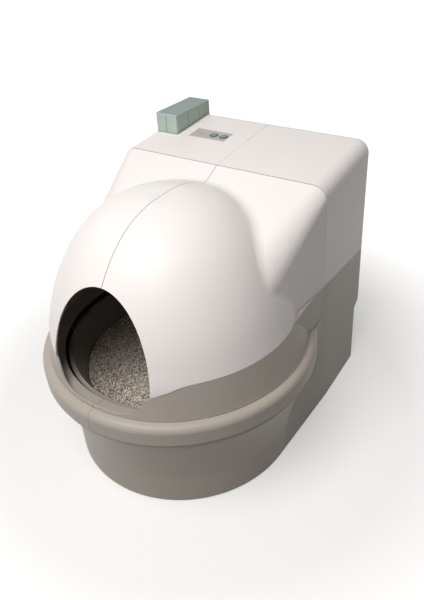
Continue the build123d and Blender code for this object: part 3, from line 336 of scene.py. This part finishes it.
def labelled(name, colour, top, roughness):
    """Moulded plastic whose upward face is a bare, finely ribbed label."""
    material = moulded(name, colour, roughness, grain=800.0, strength=0.10, drift=0.04)
    nodes, links = material.node_tree.nodes, material.node_tree.links
    surface = nodes["Principled BSDF"]
    side = surface.inputs["Base Color"].links[0].from_socket
    place = nodes.new("ShaderNodeTexCoord")
    ribs = nodes.new("ShaderNodeTexWave")
    ribs.inputs["Scale"].default_value = 55.0
    ribs.inputs["Distortion"].default_value = 1.5
    links.new(place.outputs["Object"], ribs.inputs["Vector"])
    label = two_tone(nodes, links, ribs.outputs["Fac"], shade(top, 0.85), shade(top, 1.15))
    facing = nodes.new("ShaderNodeSeparateXYZ")
    links.new(place.outputs["Normal"], facing.inputs["Vector"])
    upward = calculate(nodes, links, "GREATER_THAN", facing.outputs["Z"], LABEL_UPWARD)
    pick = chooser(nodes, links, upward.outputs["Value"])
    links.new(side, pick.inputs["A"])
    links.new(label, pick.inputs["B"])
    links.new(pick.outputs["Result"], surface.inputs["Base Color"])
    return material


def drawn_metal(name, colour, roughness):
    """Ground or drawn metal, cloudy in tone and gloss."""
    spread = 0.08
    material, nodes, links, surface = blank(name)
    cloud = noise(nodes, links, scale=240.0, detail=4.0, rough=0.6)
    tone = two_tone(nodes, links, cloud, shade(colour, 0.85), shade(colour, 1.1))
    links.new(tone, surface.inputs["Base Color"])
    gloss = span(nodes, links, cloud, roughness - spread, roughness + spread)
    links.new(gloss, surface.inputs["Roughness"])
    surface.inputs["Metallic"].default_value = 1.0
    return material


def pellet_finish(name, pale, dark):
    """Speckled granules, toned by a fine cell pattern."""
    material, nodes, links, surface = blank(name)
    place = nodes.new("ShaderNodeTexCoord")
    cells = nodes.new("ShaderNodeTexVoronoi")
    cells.inputs["Scale"].default_value = 430.0
    links.new(place.outputs["Object"], cells.inputs["Vector"])
    grey = nodes.new("ShaderNodeRGBToBW")
    links.new(cells.outputs["Color"], grey.inputs["Color"])
    low, high = shade(dark, 1.0), shade(pale, 1.0)
    tone = two_tone(nodes, links, grey.outputs["Val"], low, high, start=0.15, end=0.75)
    links.new(tone, surface.inputs["Base Color"])
    fine = noise(nodes, links, scale=900.0, detail=2.0)
    links.new(span(nodes, links, fine, 0.65, 0.85), surface.inputs["Roughness"])
    raise_grain(nodes, links, surface, fine, strength=0.4, depth=0.0003)
    return material


def seen_white(nodes, links):
    """Grey value that is 1 for camera, glossy and transmission rays and 0 for the rest."""
    ray = nodes.new("ShaderNodeLightPath").outputs
    mirrored = calculate(nodes, links, "MAXIMUM", ray["Is Glossy Ray"], ray["Is Transmission Ray"])
    seen = calculate(nodes, links, "MAXIMUM", ray["Is Camera Ray"], mirrored.outputs["Value"])
    return seen.outputs["Value"]


# Meshes

def piece(name, mesh_maker, material, body):
    """New mesh piece that rides on a body and takes the given finish."""
    mesh = bpy.data.meshes.new(name)
    work = bmesh.new()
    mesh_maker(work)
    work.normal_update()
    work.to_mesh(mesh)
    work.free()
    thing = bpy.data.objects.new(name, mesh)
    bpy.context.scene.collection.objects.link(thing)
    mesh.materials.append(material)
    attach(thing, body)
    return thing


def smooth(thing, degrees):
    """Smooth shading that keeps edges sharper than an angle."""
    thing.data.shade_smooth()
    thing.data.set_sharp_from_angle(angle=math.radians(degrees))


def paint(names, material):
    """One finish on several carried-over nodes."""
    for name in names:
        node = NODES[name]
        node.data.materials.clear()
        node.data.materials.append(material)


def surface_of(node):
    """Ray target made from a node's mesh."""
    mesh = NODES[node].data
    return BVHTree.FromPolygons([v.co for v in mesh.vertices], [p.vertices for p in mesh.polygons])


def drop(target, x, y):
    """Point and normal where a plumb line from above meets a surface."""
    point, normal, _, _ = target.ray_cast(Vector((x, y, 1)), Vector((0, 0, -1)))
    return point, normal


def middle(node):
    """Centre of a node's box."""
    low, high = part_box(node)
    return (Vector(low) + Vector(high)) / 2


def turns(steps):
    """Angles of evenly spaced corners round a full turn."""
    return [FULL_TURN * step / steps for step in range(steps)]


def bridge(work, near, far):
    """Faces between two closed rows of corners; the far row may be a single corner."""
    steps = len(near)
    for step in range(steps):
        after = (step + 1) % steps
        if len(far) == 1:
            work.faces.new((near[step], near[after], far[0]))
        else:
            work.faces.new((near[step], near[after], far[after], far[step]))


def spun(work, profile, place, steps, closed=False):
    """Add a turned form from (radius, height) points; the last point may lie on the axis."""
    rows = []
    for radius, height in profile:
        row = []
        for turn in turns(steps if radius > 0 else 1):
            spot = Vector((radius * math.cos(turn), radius * math.sin(turn), height))
            row.append(work.verts.new(place @ spot))
        rows.append(row)
    for low, high in zip(rows, rows[1:]):
        bridge(work, low, high)
    if closed:
        bridge(work, rows[-1], rows[0])
    return rows


def standing(point, normal):
    """Placement whose Z axis follows a surface normal."""
    return Matrix.Translation(point) @ normal.to_track_quat("Z", "Y").to_matrix().to_4x4()


def bearing(azimuth, elevation):
    """Direction to a place round the object; azimuth 0 is the front."""
    flat = math.cos(elevation)
    return Vector((math.sin(azimuth) * flat, -math.cos(azimuth) * flat, math.sin(elevation)))


# Steps

class LITTERBOX_OT_finish(bpy.types.Operator):
    """Give every moulded shell and every inner piece its finish"""

    bl_idname = "litterbox.finish"
    bl_label = "Finish Pieces"

    def execute(self, context):
        look = settings().finish
        self.shells(look)
        self.machinery(look)
        return {"FINISHED"}

    def shells(self, look):
        """Hood, housing, base and what shows on them."""
        back = (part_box("hood_right")[1][1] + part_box("housing_cover")[0][1]) / 2

        # The white shells get painted shade along the hood's middle seam and along the seam between hood
        # and housing.
        def white(name, seams):
            shell = moulded(name, look.hood, 0.34, grain=420.0, strength=0.05, drift=0.012)
            return seam_shaded(shell, seams, look.seam, look.painted_seam_shade)

        paint(["hood_right", "hood_left"], white("hood_white", [("X", 0.0), ("Y", back)]))
        paint(["housing_cover"], white("housing_white", [("Y", back)]))
        paint(
            ["base_shell", "wash_deck", "pan_wall", "side_wall_right", "side_wall_left"],
            moulded("base_grey", look.base, 0.37, grain=900.0, strength=0.12),
        )
        paint(
            ["control_panel"],
            moulded("panel_plate", look.plate, 0.45, grain=1200.0, strength=0.1, drift=0.02),
        )
        paint(
            ["button_start", "button_mode"],
            moulded("key_teal", look.key, 0.35, grain=900.0, strength=0.05, drift=0.04),
        )
        paint(["cartridge"], labelled("cartridge_teal", look.cartridge, look.cartridge_top, 0.40))

    def machinery(self, look):
        """Pieces inside the hood and the housing, and those on the rear and the underside."""
        paint(["front_panel", "cartridge_dock", "arm_bracket"], moulded("inner_grey", look.inner, 0.55))
        paint(["bowl"], moulded("bowl_grey", look.bowl, 0.40))
        paint(
            ["bowl_gear", "drive_pinion", "impeller", "blower_fan"],
            moulded("nylon", look.nylon, 0.45),
        )
        paint(["arm", "scoop"], moulded("arm_grey", look.arm, 0.45))
        paint(
            ["hopper", "hopper_outlet", "pump_volute", "pump_cover", "drain_spigot", "blower_housing"],
            moulded("waste_black", look.waste, 0.5),
        )
        paint(["water_valve"], moulded("valve_white", look.valve, 0.45))
        paint(["fill_tube", "dosing_tube"], moulded("soft_tube", look.tube, 0.35))
        paint(
            ["base_feet", "power_gland"],
            moulded("rubber_black", look.rubber, 0.75, grain=500.0, strength=0.3),
        )
        paint(
            ["control_board"],
            moulded("board_green", look.board, 0.35, grain=300.0, strength=0.2, drift=0.15),
        )
        paint(["drive_spindle", "arm_shaft"], drawn_metal("ground_steel", look.steel, 0.3))
        paint(
            ["drive_motor", "pump_motor", "blower_motor", "arm_motor"],
            drawn_metal("motor_can", look.motor, 0.45),
        )


class LITTERBOX_OT_granules(bpy.types.Operator):
    """Lay loose granules over the bed in the bowl"""

    bl_idname = "litterbox.granules"
    bl_label = "Lay Granules"

    # Ranges of a granule's size and of its height over the granules' solid, in mean radii
    SIZE = (0.7, 1.25)
    OVER = (-1.2, 0.4)
    # Ranges of a granule's length and thickness, in sizes
    LONG = (0.9, 1.35)
    THICK = (0.7, 0.95)

    def execute(self, context):
        look = settings().granules
        finish = pellet_finish("granule_mix", look.pale, look.dark)
        target = surface_of("granules")
        low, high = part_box("granules")
        centre = middle("granules")
        reach = (high[0] - low[0]) / 2 - 2 * look.radius
        draw = random.Random(look.seed)

        def on_bed(radius, turn):
            x = centre.x + radius * math.cos(turn)
            y = centre.y + radius * math.sin(turn)
            return drop(target, x, y)[0]

        def bed(work):
            rings, steps = 48, 128
            rows = []
            for ring in range(rings + 1):
                radius = (reach + look.radius) * ring / rings
                row = []
                for turn in turns(steps if ring else 1):
                    spot = on_bed(radius, turn)
                    spot.z = spot.z - look.bed_sink + look.bed_rough * draw.uniform(-1, 1)
                    row.append(work.verts.new(spot))
                rows.append(row)
            depth = Vector((0, 0, look.bed_depth))
            under = [[work.verts.new(corner.co - depth) for corner in row] for row in rows]
            for step in range(steps):
                after = (step + 1) % steps
                work.faces.new((rows[0][0], rows[1][step], rows[1][after]))
                work.faces.new((under[0][0], under[1][after], under[1][step]))
                work.faces.new((rows[-1][after], rows[-1][step], under[-1][step], under[-1][after]))
                for ring in range(1, rings):
                    inner, outer = rows[ring], rows[ring + 1]
                    work.faces.new((inner[step], outer[step], outer[after], inner[after]))
                    inner, outer = under[ring], under[ring + 1]
                    work.faces.new((inner[after], outer[after], outer[step], inner[step]))

        base = piece("granule_bed", bed, finish, "bowl_body")
        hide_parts("granules")
        smooth(base, degrees=60)

        def pellets(work):
            shape = bmesh.new()
            bmesh.ops.create_icosphere(shape, subdivisions=1, radius=1.0)
            shape.verts.index_update()
            corners = [corner.co.copy() for corner in shape.verts]
            sides = [[corner.index for corner in side.verts] for side in shape.faces]
            shape.free()
            for _ in range(look.amount):
                radius = reach * math.sqrt(draw.random())
                spot = on_bed(radius, draw.uniform(0, FULL_TURN))
                size = look.radius * draw.uniform(*self.SIZE)
                long = size * draw.uniform(*self.LONG)
                thick = size * draw.uniform(*self.THICK)
                tilt = Matrix.Rotation(draw.uniform(0, math.pi), 4, "X")
                spin = Matrix.Rotation(draw.uniform(0, FULL_TURN), 4, "Z")
                lift = Vector((0, 0, draw.uniform(*self.OVER) * look.radius))
                place = Matrix.Translation(spot + lift) @ spin @ tilt
                place = place @ Matrix.Diagonal((long, size, thick, 1))
                verts = [work.verts.new(place @ corner) for corner in corners]
                for side in sides:
                    work.faces.new([verts[index] for index in side])

        loose = piece("granules_loose", pellets, finish, "bowl_body")
        loose.data.shade_smooth()
        return {"FINISHED"}


class LITTERBOX_OT_panel_trim(bpy.types.Operator):
    """Add key bezels and indicator lenses to the control panel"""

    bl_idname = "litterbox.panel_trim"
    bl_label = "Add Panel Trim"

    # Section of a lens as (radius, height), in lens radii
    BULGE = ((1.0, -0.3), (1.0, 0.1), (0.8, 0.35), (0.45, 0.5), (0.0, 0.55))

    def execute(self, context):
        look = settings().trim
        target = surface_of("control_panel")
        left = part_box("control_panel")[0][0]
        centre = middle("control_panel")
        keys = [middle("button_start"), middle("button_mode")]
        _, normal = drop(target, left + look.lens_pitch, centre.y)

        def bezels(work):
            inner = look.bezel_bore
            outer = inner + look.bezel_width
            sink, rise = look.bezel_sink, look.bezel_rise
            ring = [(inner, -sink), (outer, -sink), (outer - sink, 2 * rise / 3), (inner + rise / 2, rise)]
            clear = 0.001
            for key in keys:
                point, _ = drop(target, key.x - outer - clear, key.y)
                shift = Vector((key.x - point.x, 0, 0))
                spun(work, ring, standing(point + shift, normal), steps=48, closed=True)

        rings = moulded("bezel_teal", look.bezel, 0.4, grain=1200.0, strength=0.1, drift=0.02)
        smooth(piece("key_bezels", bezels, rings, "base"), degrees=30)

        def lenses(work):
            size = look.lens_radius
            profile = [(radius * size, height * size) for radius, height in self.BULGE]
            for place in range(look.lens_amount):
                point, _ = drop(target, left + look.lens_start + place * look.lens_pitch, centre.y)
                spun(work, profile, standing(point, normal), steps=24)

        glow = moulded("lens_green", look.lens, 0.18, grain=300.0, strength=0.02, drift=0.10)
        smooth(piece("panel_lenses", lenses, glow, "base"), degrees=50)
        return {"FINISHED"}


class LITTERBOX_OT_gasket(bpy.types.Operator):
    """Lay the foam strips that close the lap between the base and its side walls"""

    bl_idname = "litterbox.gasket"
    bl_label = "Lay Rim Gasket"

    def execute(self, context):
        look = settings().trim
        low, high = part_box("side_wall_right")
        rim = high[0]
        centre = low[1] + rim
        foot = low[2] - look.gasket_drop
        top = foot + look.gasket_height
        inner = rim - look.gasket_depth
        outer = rim - look.gasket_inset
        section = [(inner, foot), (outer, foot), (outer, top), (inner, top)]

        def beside(radius):
            turn = math.acos((rim - look.gasket_stop) / radius)
            return -turn, turn

        def behind(radius):
            return math.asin(look.gasket_back / radius), math.asin(look.gasket_end / radius)

        def strip(work, side, ends, steps):
            rows = []
            for step in range(steps + 1):
                row = []
                for radius, z in section:
                    first, last = ends(radius)
                    turn = first + (last - first) * step / steps
                    across, along = side * radius * math.cos(turn), radius * math.sin(turn)
                    row.append(work.verts.new((across, centre + along, z)))
                rows.append(row)
            for near, far in zip(rows, rows[1:]):
                for corner in range(len(section)):
                    after = (corner + 1) % len(section)
                    work.faces.new((near[corner], far[corner], far[after], near[after]))
            work.faces.new(rows[0])
            work.faces.new(list(reversed(rows[-1])))

        def strips(work):
            for side in (-1, 1):
                strip(work, side, beside, steps=96)
                strip(work, side, behind, steps=12)
            bmesh.ops.recalc_face_normals(work, faces=work.faces)

        foam = moulded("foam_black", look.gasket, 0.85, grain=500.0, strength=0.4, drift=0.1)
        piece("rim_gasket", strips, foam, "base")
        return {"FINISHED"}


class LITTERBOX_OT_screws(bpy.types.Operator):
    """Add the case screws to the rear of the housing"""

    bl_idname = "litterbox.screws"
    bl_label = "Add Case Screws"

    # Head and its cross recess, in head radii; the dome as (radius, height), its heights in rises
    RISE = 0.6
    DOME = ((1.0, 0.3), (0.9, 0.7), (0.72, 1.0))
    CROSS_ARM = 0.55
    CROSS_HALF = 0.13
    CROSS_FLOOR = 0.35

    def execute(self, context):
        look = settings().trim
        target = surface_of("housing_cover")
        low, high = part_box("housing_cover")
        steps = 48
        head = look.screw_radius
        rise = self.RISE * head
        dome = [(head, -look.screw_sink)]
        dome += [(radius * head, height * rise) for radius, height in self.DOME]

        def recess(turn):
            arm, half = self.CROSS_ARM * head, self.CROSS_HALF * head
            lean = abs((turn + math.pi / 4) % (math.pi / 2) - math.pi / 4)
            return arm / math.cos(lean) if math.tan(lean) < half / arm else half / math.sin(lean)

        def screw(work, place):
            edge = spun(work, dome, place, steps)[-1]
            for height in (rise, self.CROSS_FLOOR * rise):
                row = []
                for turn in turns(steps):
                    reach = recess(turn)
                    spot = Vector((reach * math.cos(turn), reach * math.sin(turn), height))
                    row.append(work.verts.new(place @ spot))
                bridge(work, edge, row)
                edge = row
            work.faces.new(edge)

        def screws(work):
            for z in (low[2] + look.screw_low, high[2] - look.screw_high):
                for x in (-look.screw_across, 0.0, look.screw_across):
                    point, normal, _, _ = target.ray_cast(Vector((x, 1, z)), Vector((0, -1, 0)))
                    screw(work, standing(point, normal))

        plated = drawn_metal("plated_screw", look.screw, 0.35)
        smooth(piece("case_screws", screws, plated, "base"), degrees=35)
        return {"FINISHED"}


class LITTERBOX_OT_stage(bpy.types.Operator):
    """Set the floor, the lights and the camera at the photograph's angle"""

    bl_idname = "litterbox.stage"
    bl_label = "Set Stage"

    def execute(self, context):
        look = settings().stage
        scene = context.scene
        scene.view_settings.view_transform = "Standard"
        self.camera(scene, look)
        self.floor(scene, look)
        self.sky(scene, look)
        self.key(scene, look)
        return {"FINISHED"}

    def camera(self, scene, look):
        """Camera with the place, heading, roll and optical centre of the photograph."""
        ahead = -bearing(look.yaw, look.pitch)
        level = Vector((math.cos(look.yaw), math.sin(look.yaw), 0))
        rise = level.cross(ahead)
        right = level * math.cos(look.roll) + rise * math.sin(look.roll)
        up = rise * math.cos(look.roll) - level * math.sin(look.roll)
        data = bpy.data.cameras.new("photo_camera")
        data.sensor_width = SENSOR
        data.lens = look.focal / PHOTO_HEIGHT * SENSOR
        data.shift_x = (PHOTO_WIDTH / 2 - look.centre_x) / PHOTO_HEIGHT
        data.shift_y = (look.centre_y - PHOTO_HEIGHT / 2) / PHOTO_HEIGHT
        data.clip_start = look.clip_near
        data.clip_end = look.clip_far
        eye = bpy.data.objects.new("photo_camera", data)
        spot = Vector((0, 0, look.pivot)) + bearing(look.azimuth, look.elevation) * look.distance
        eye.matrix_world = Matrix.Translation(spot) @ Matrix((right, up, -ahead)).transposed().to_4x4()
        scene.collection.objects.link(eye)
        scene.camera = eye

    def floor(self, scene, look):
        """Large floor that is seen as white away from the object's shadow."""
        material, nodes, links, surface = blank("studio_floor")
        seen = seen_white(nodes, links)
        tone = chooser(nodes, links, seen)
        tone.inputs["A"].default_value = (*look.floor_bounce, 1)
        tone.inputs["B"].default_value = (*look.floor, 1)
        links.new(tone.outputs["Result"], surface.inputs["Base Color"])
        surface.inputs["Roughness"].default_value = 0.9
        surface.inputs["Specular IOR Level"].default_value = 0.1
        surface.inputs["Emission Color"].default_value = (1, 1, 1, 1)
        place = nodes.new("ShaderNodeTexCoord")
        away = nodes.new("ShaderNodeVectorMath")
        away.operation = "LENGTH"
        links.new(place.outputs["Object"], away.inputs[0])
        lift = nodes.new("ShaderNodeMapRange")
        lift.inputs["From Min"].default_value = look.floor_start
        lift.inputs["From Max"].default_value = look.floor_end
        lift.inputs["To Min"].default_value = look.floor_lift
        lift.inputs["To Max"].default_value = 1.0
        links.new(away.outputs["Value"], lift.inputs["Value"])
        shown = calculate(nodes, links, "MULTIPLY", lift.outputs["Result"], seen)
        links.new(shown.outputs["Value"], surface.inputs["Emission Strength"])
        mesh = bpy.data.meshes.new("studio_floor")
        reach = look.floor_reach
        corners = [(-reach, -reach, 0), (reach, -reach, 0), (reach, reach, 0), (-reach, reach, 0)]
        mesh.from_pydata(corners, [], [(0, 1, 2, 3)])
        mesh.materials.append(material)
        ground = bpy.data.objects.new("studio_floor", mesh)
        ground.location.z = -look.floor_drop
        scene.collection.objects.link(ground)

    def sky(self, scene, look):
        """Even, slightly warm sky that is seen as white."""
        world = bpy.data.worlds.new("studio_world")
        scene.world = world
        world.use_nodes = True
        nodes, links = world.node_tree.nodes, world.node_tree.links
        back = nodes["Background"]
        back.inputs["Color"].default_value = (*look.sky_tint, 1)
        strength = span(nodes, links, seen_white(nodes, links), look.sky, 1.0)
        links.new(strength, back.inputs["Strength"])

    def key(self, scene, look):
        """Soft square lamp high in front, aimed at the middle of the object."""
        data = bpy.data.lights.new("key", "AREA")
        data.size = look.key_size
        data.energy = look.key_power
        data.color = look.key_tint
        lamp = bpy.data.objects.new("key", data)
        away = bearing(look.key_azimuth, look.key_elevation)
        lamp.location = Vector((0, 0, look.pivot)) + away * look.key_distance
        lamp.rotation_euler = away.to_track_quat("Z", "Y").to_euler()
        scene.collection.objects.link(lamp)


OPERATORS = (
    LITTERBOX_OT_finish,
    LITTERBOX_OT_granules,
    LITTERBOX_OT_panel_trim,
    LITTERBOX_OT_gasket,
    LITTERBOX_OT_screws,
    LITTERBOX_OT_stage,
)


class LITTERBOX_PT_panel(bpy.types.Panel):
    """Buttons for each step"""

    bl_idname = "LITTERBOX_PT_panel"
    bl_label = "Litter Box"
    bl_space_type = "VIEW_3D"
    bl_region_type = "UI"
    bl_category = "Litter Box"

    def draw(self, context):
        for step in OPERATORS:
            self.layout.operator(step.bl_idname)


CLASSES = (
    FinishSettings,
    GranuleSettings,
    TrimSettings,
    StageSettings,
    LitterBoxSettings,
    *OPERATORS,
    LITTERBOX_PT_panel,
)


def register():
    """Add the settings, steps and panel to Blender."""
    for item in CLASSES:
        bpy.utils.register_class(item)
    bpy.types.Scene.litter_box = PointerProperty(type=LitterBoxSettings)


def unregister():
    """Take the settings, steps and panel out of Blender again."""
    del bpy.types.Scene.litter_box
    for item in reversed(CLASSES):
        bpy.utils.unregister_class(item)


def main():
    """Run all steps in order."""
    register()
    for step in OPERATORS:
        group, name = step.bl_idname.split(".")
        getattr(getattr(bpy.ops, group), name)()


if __name__ == "__main__":
    main()
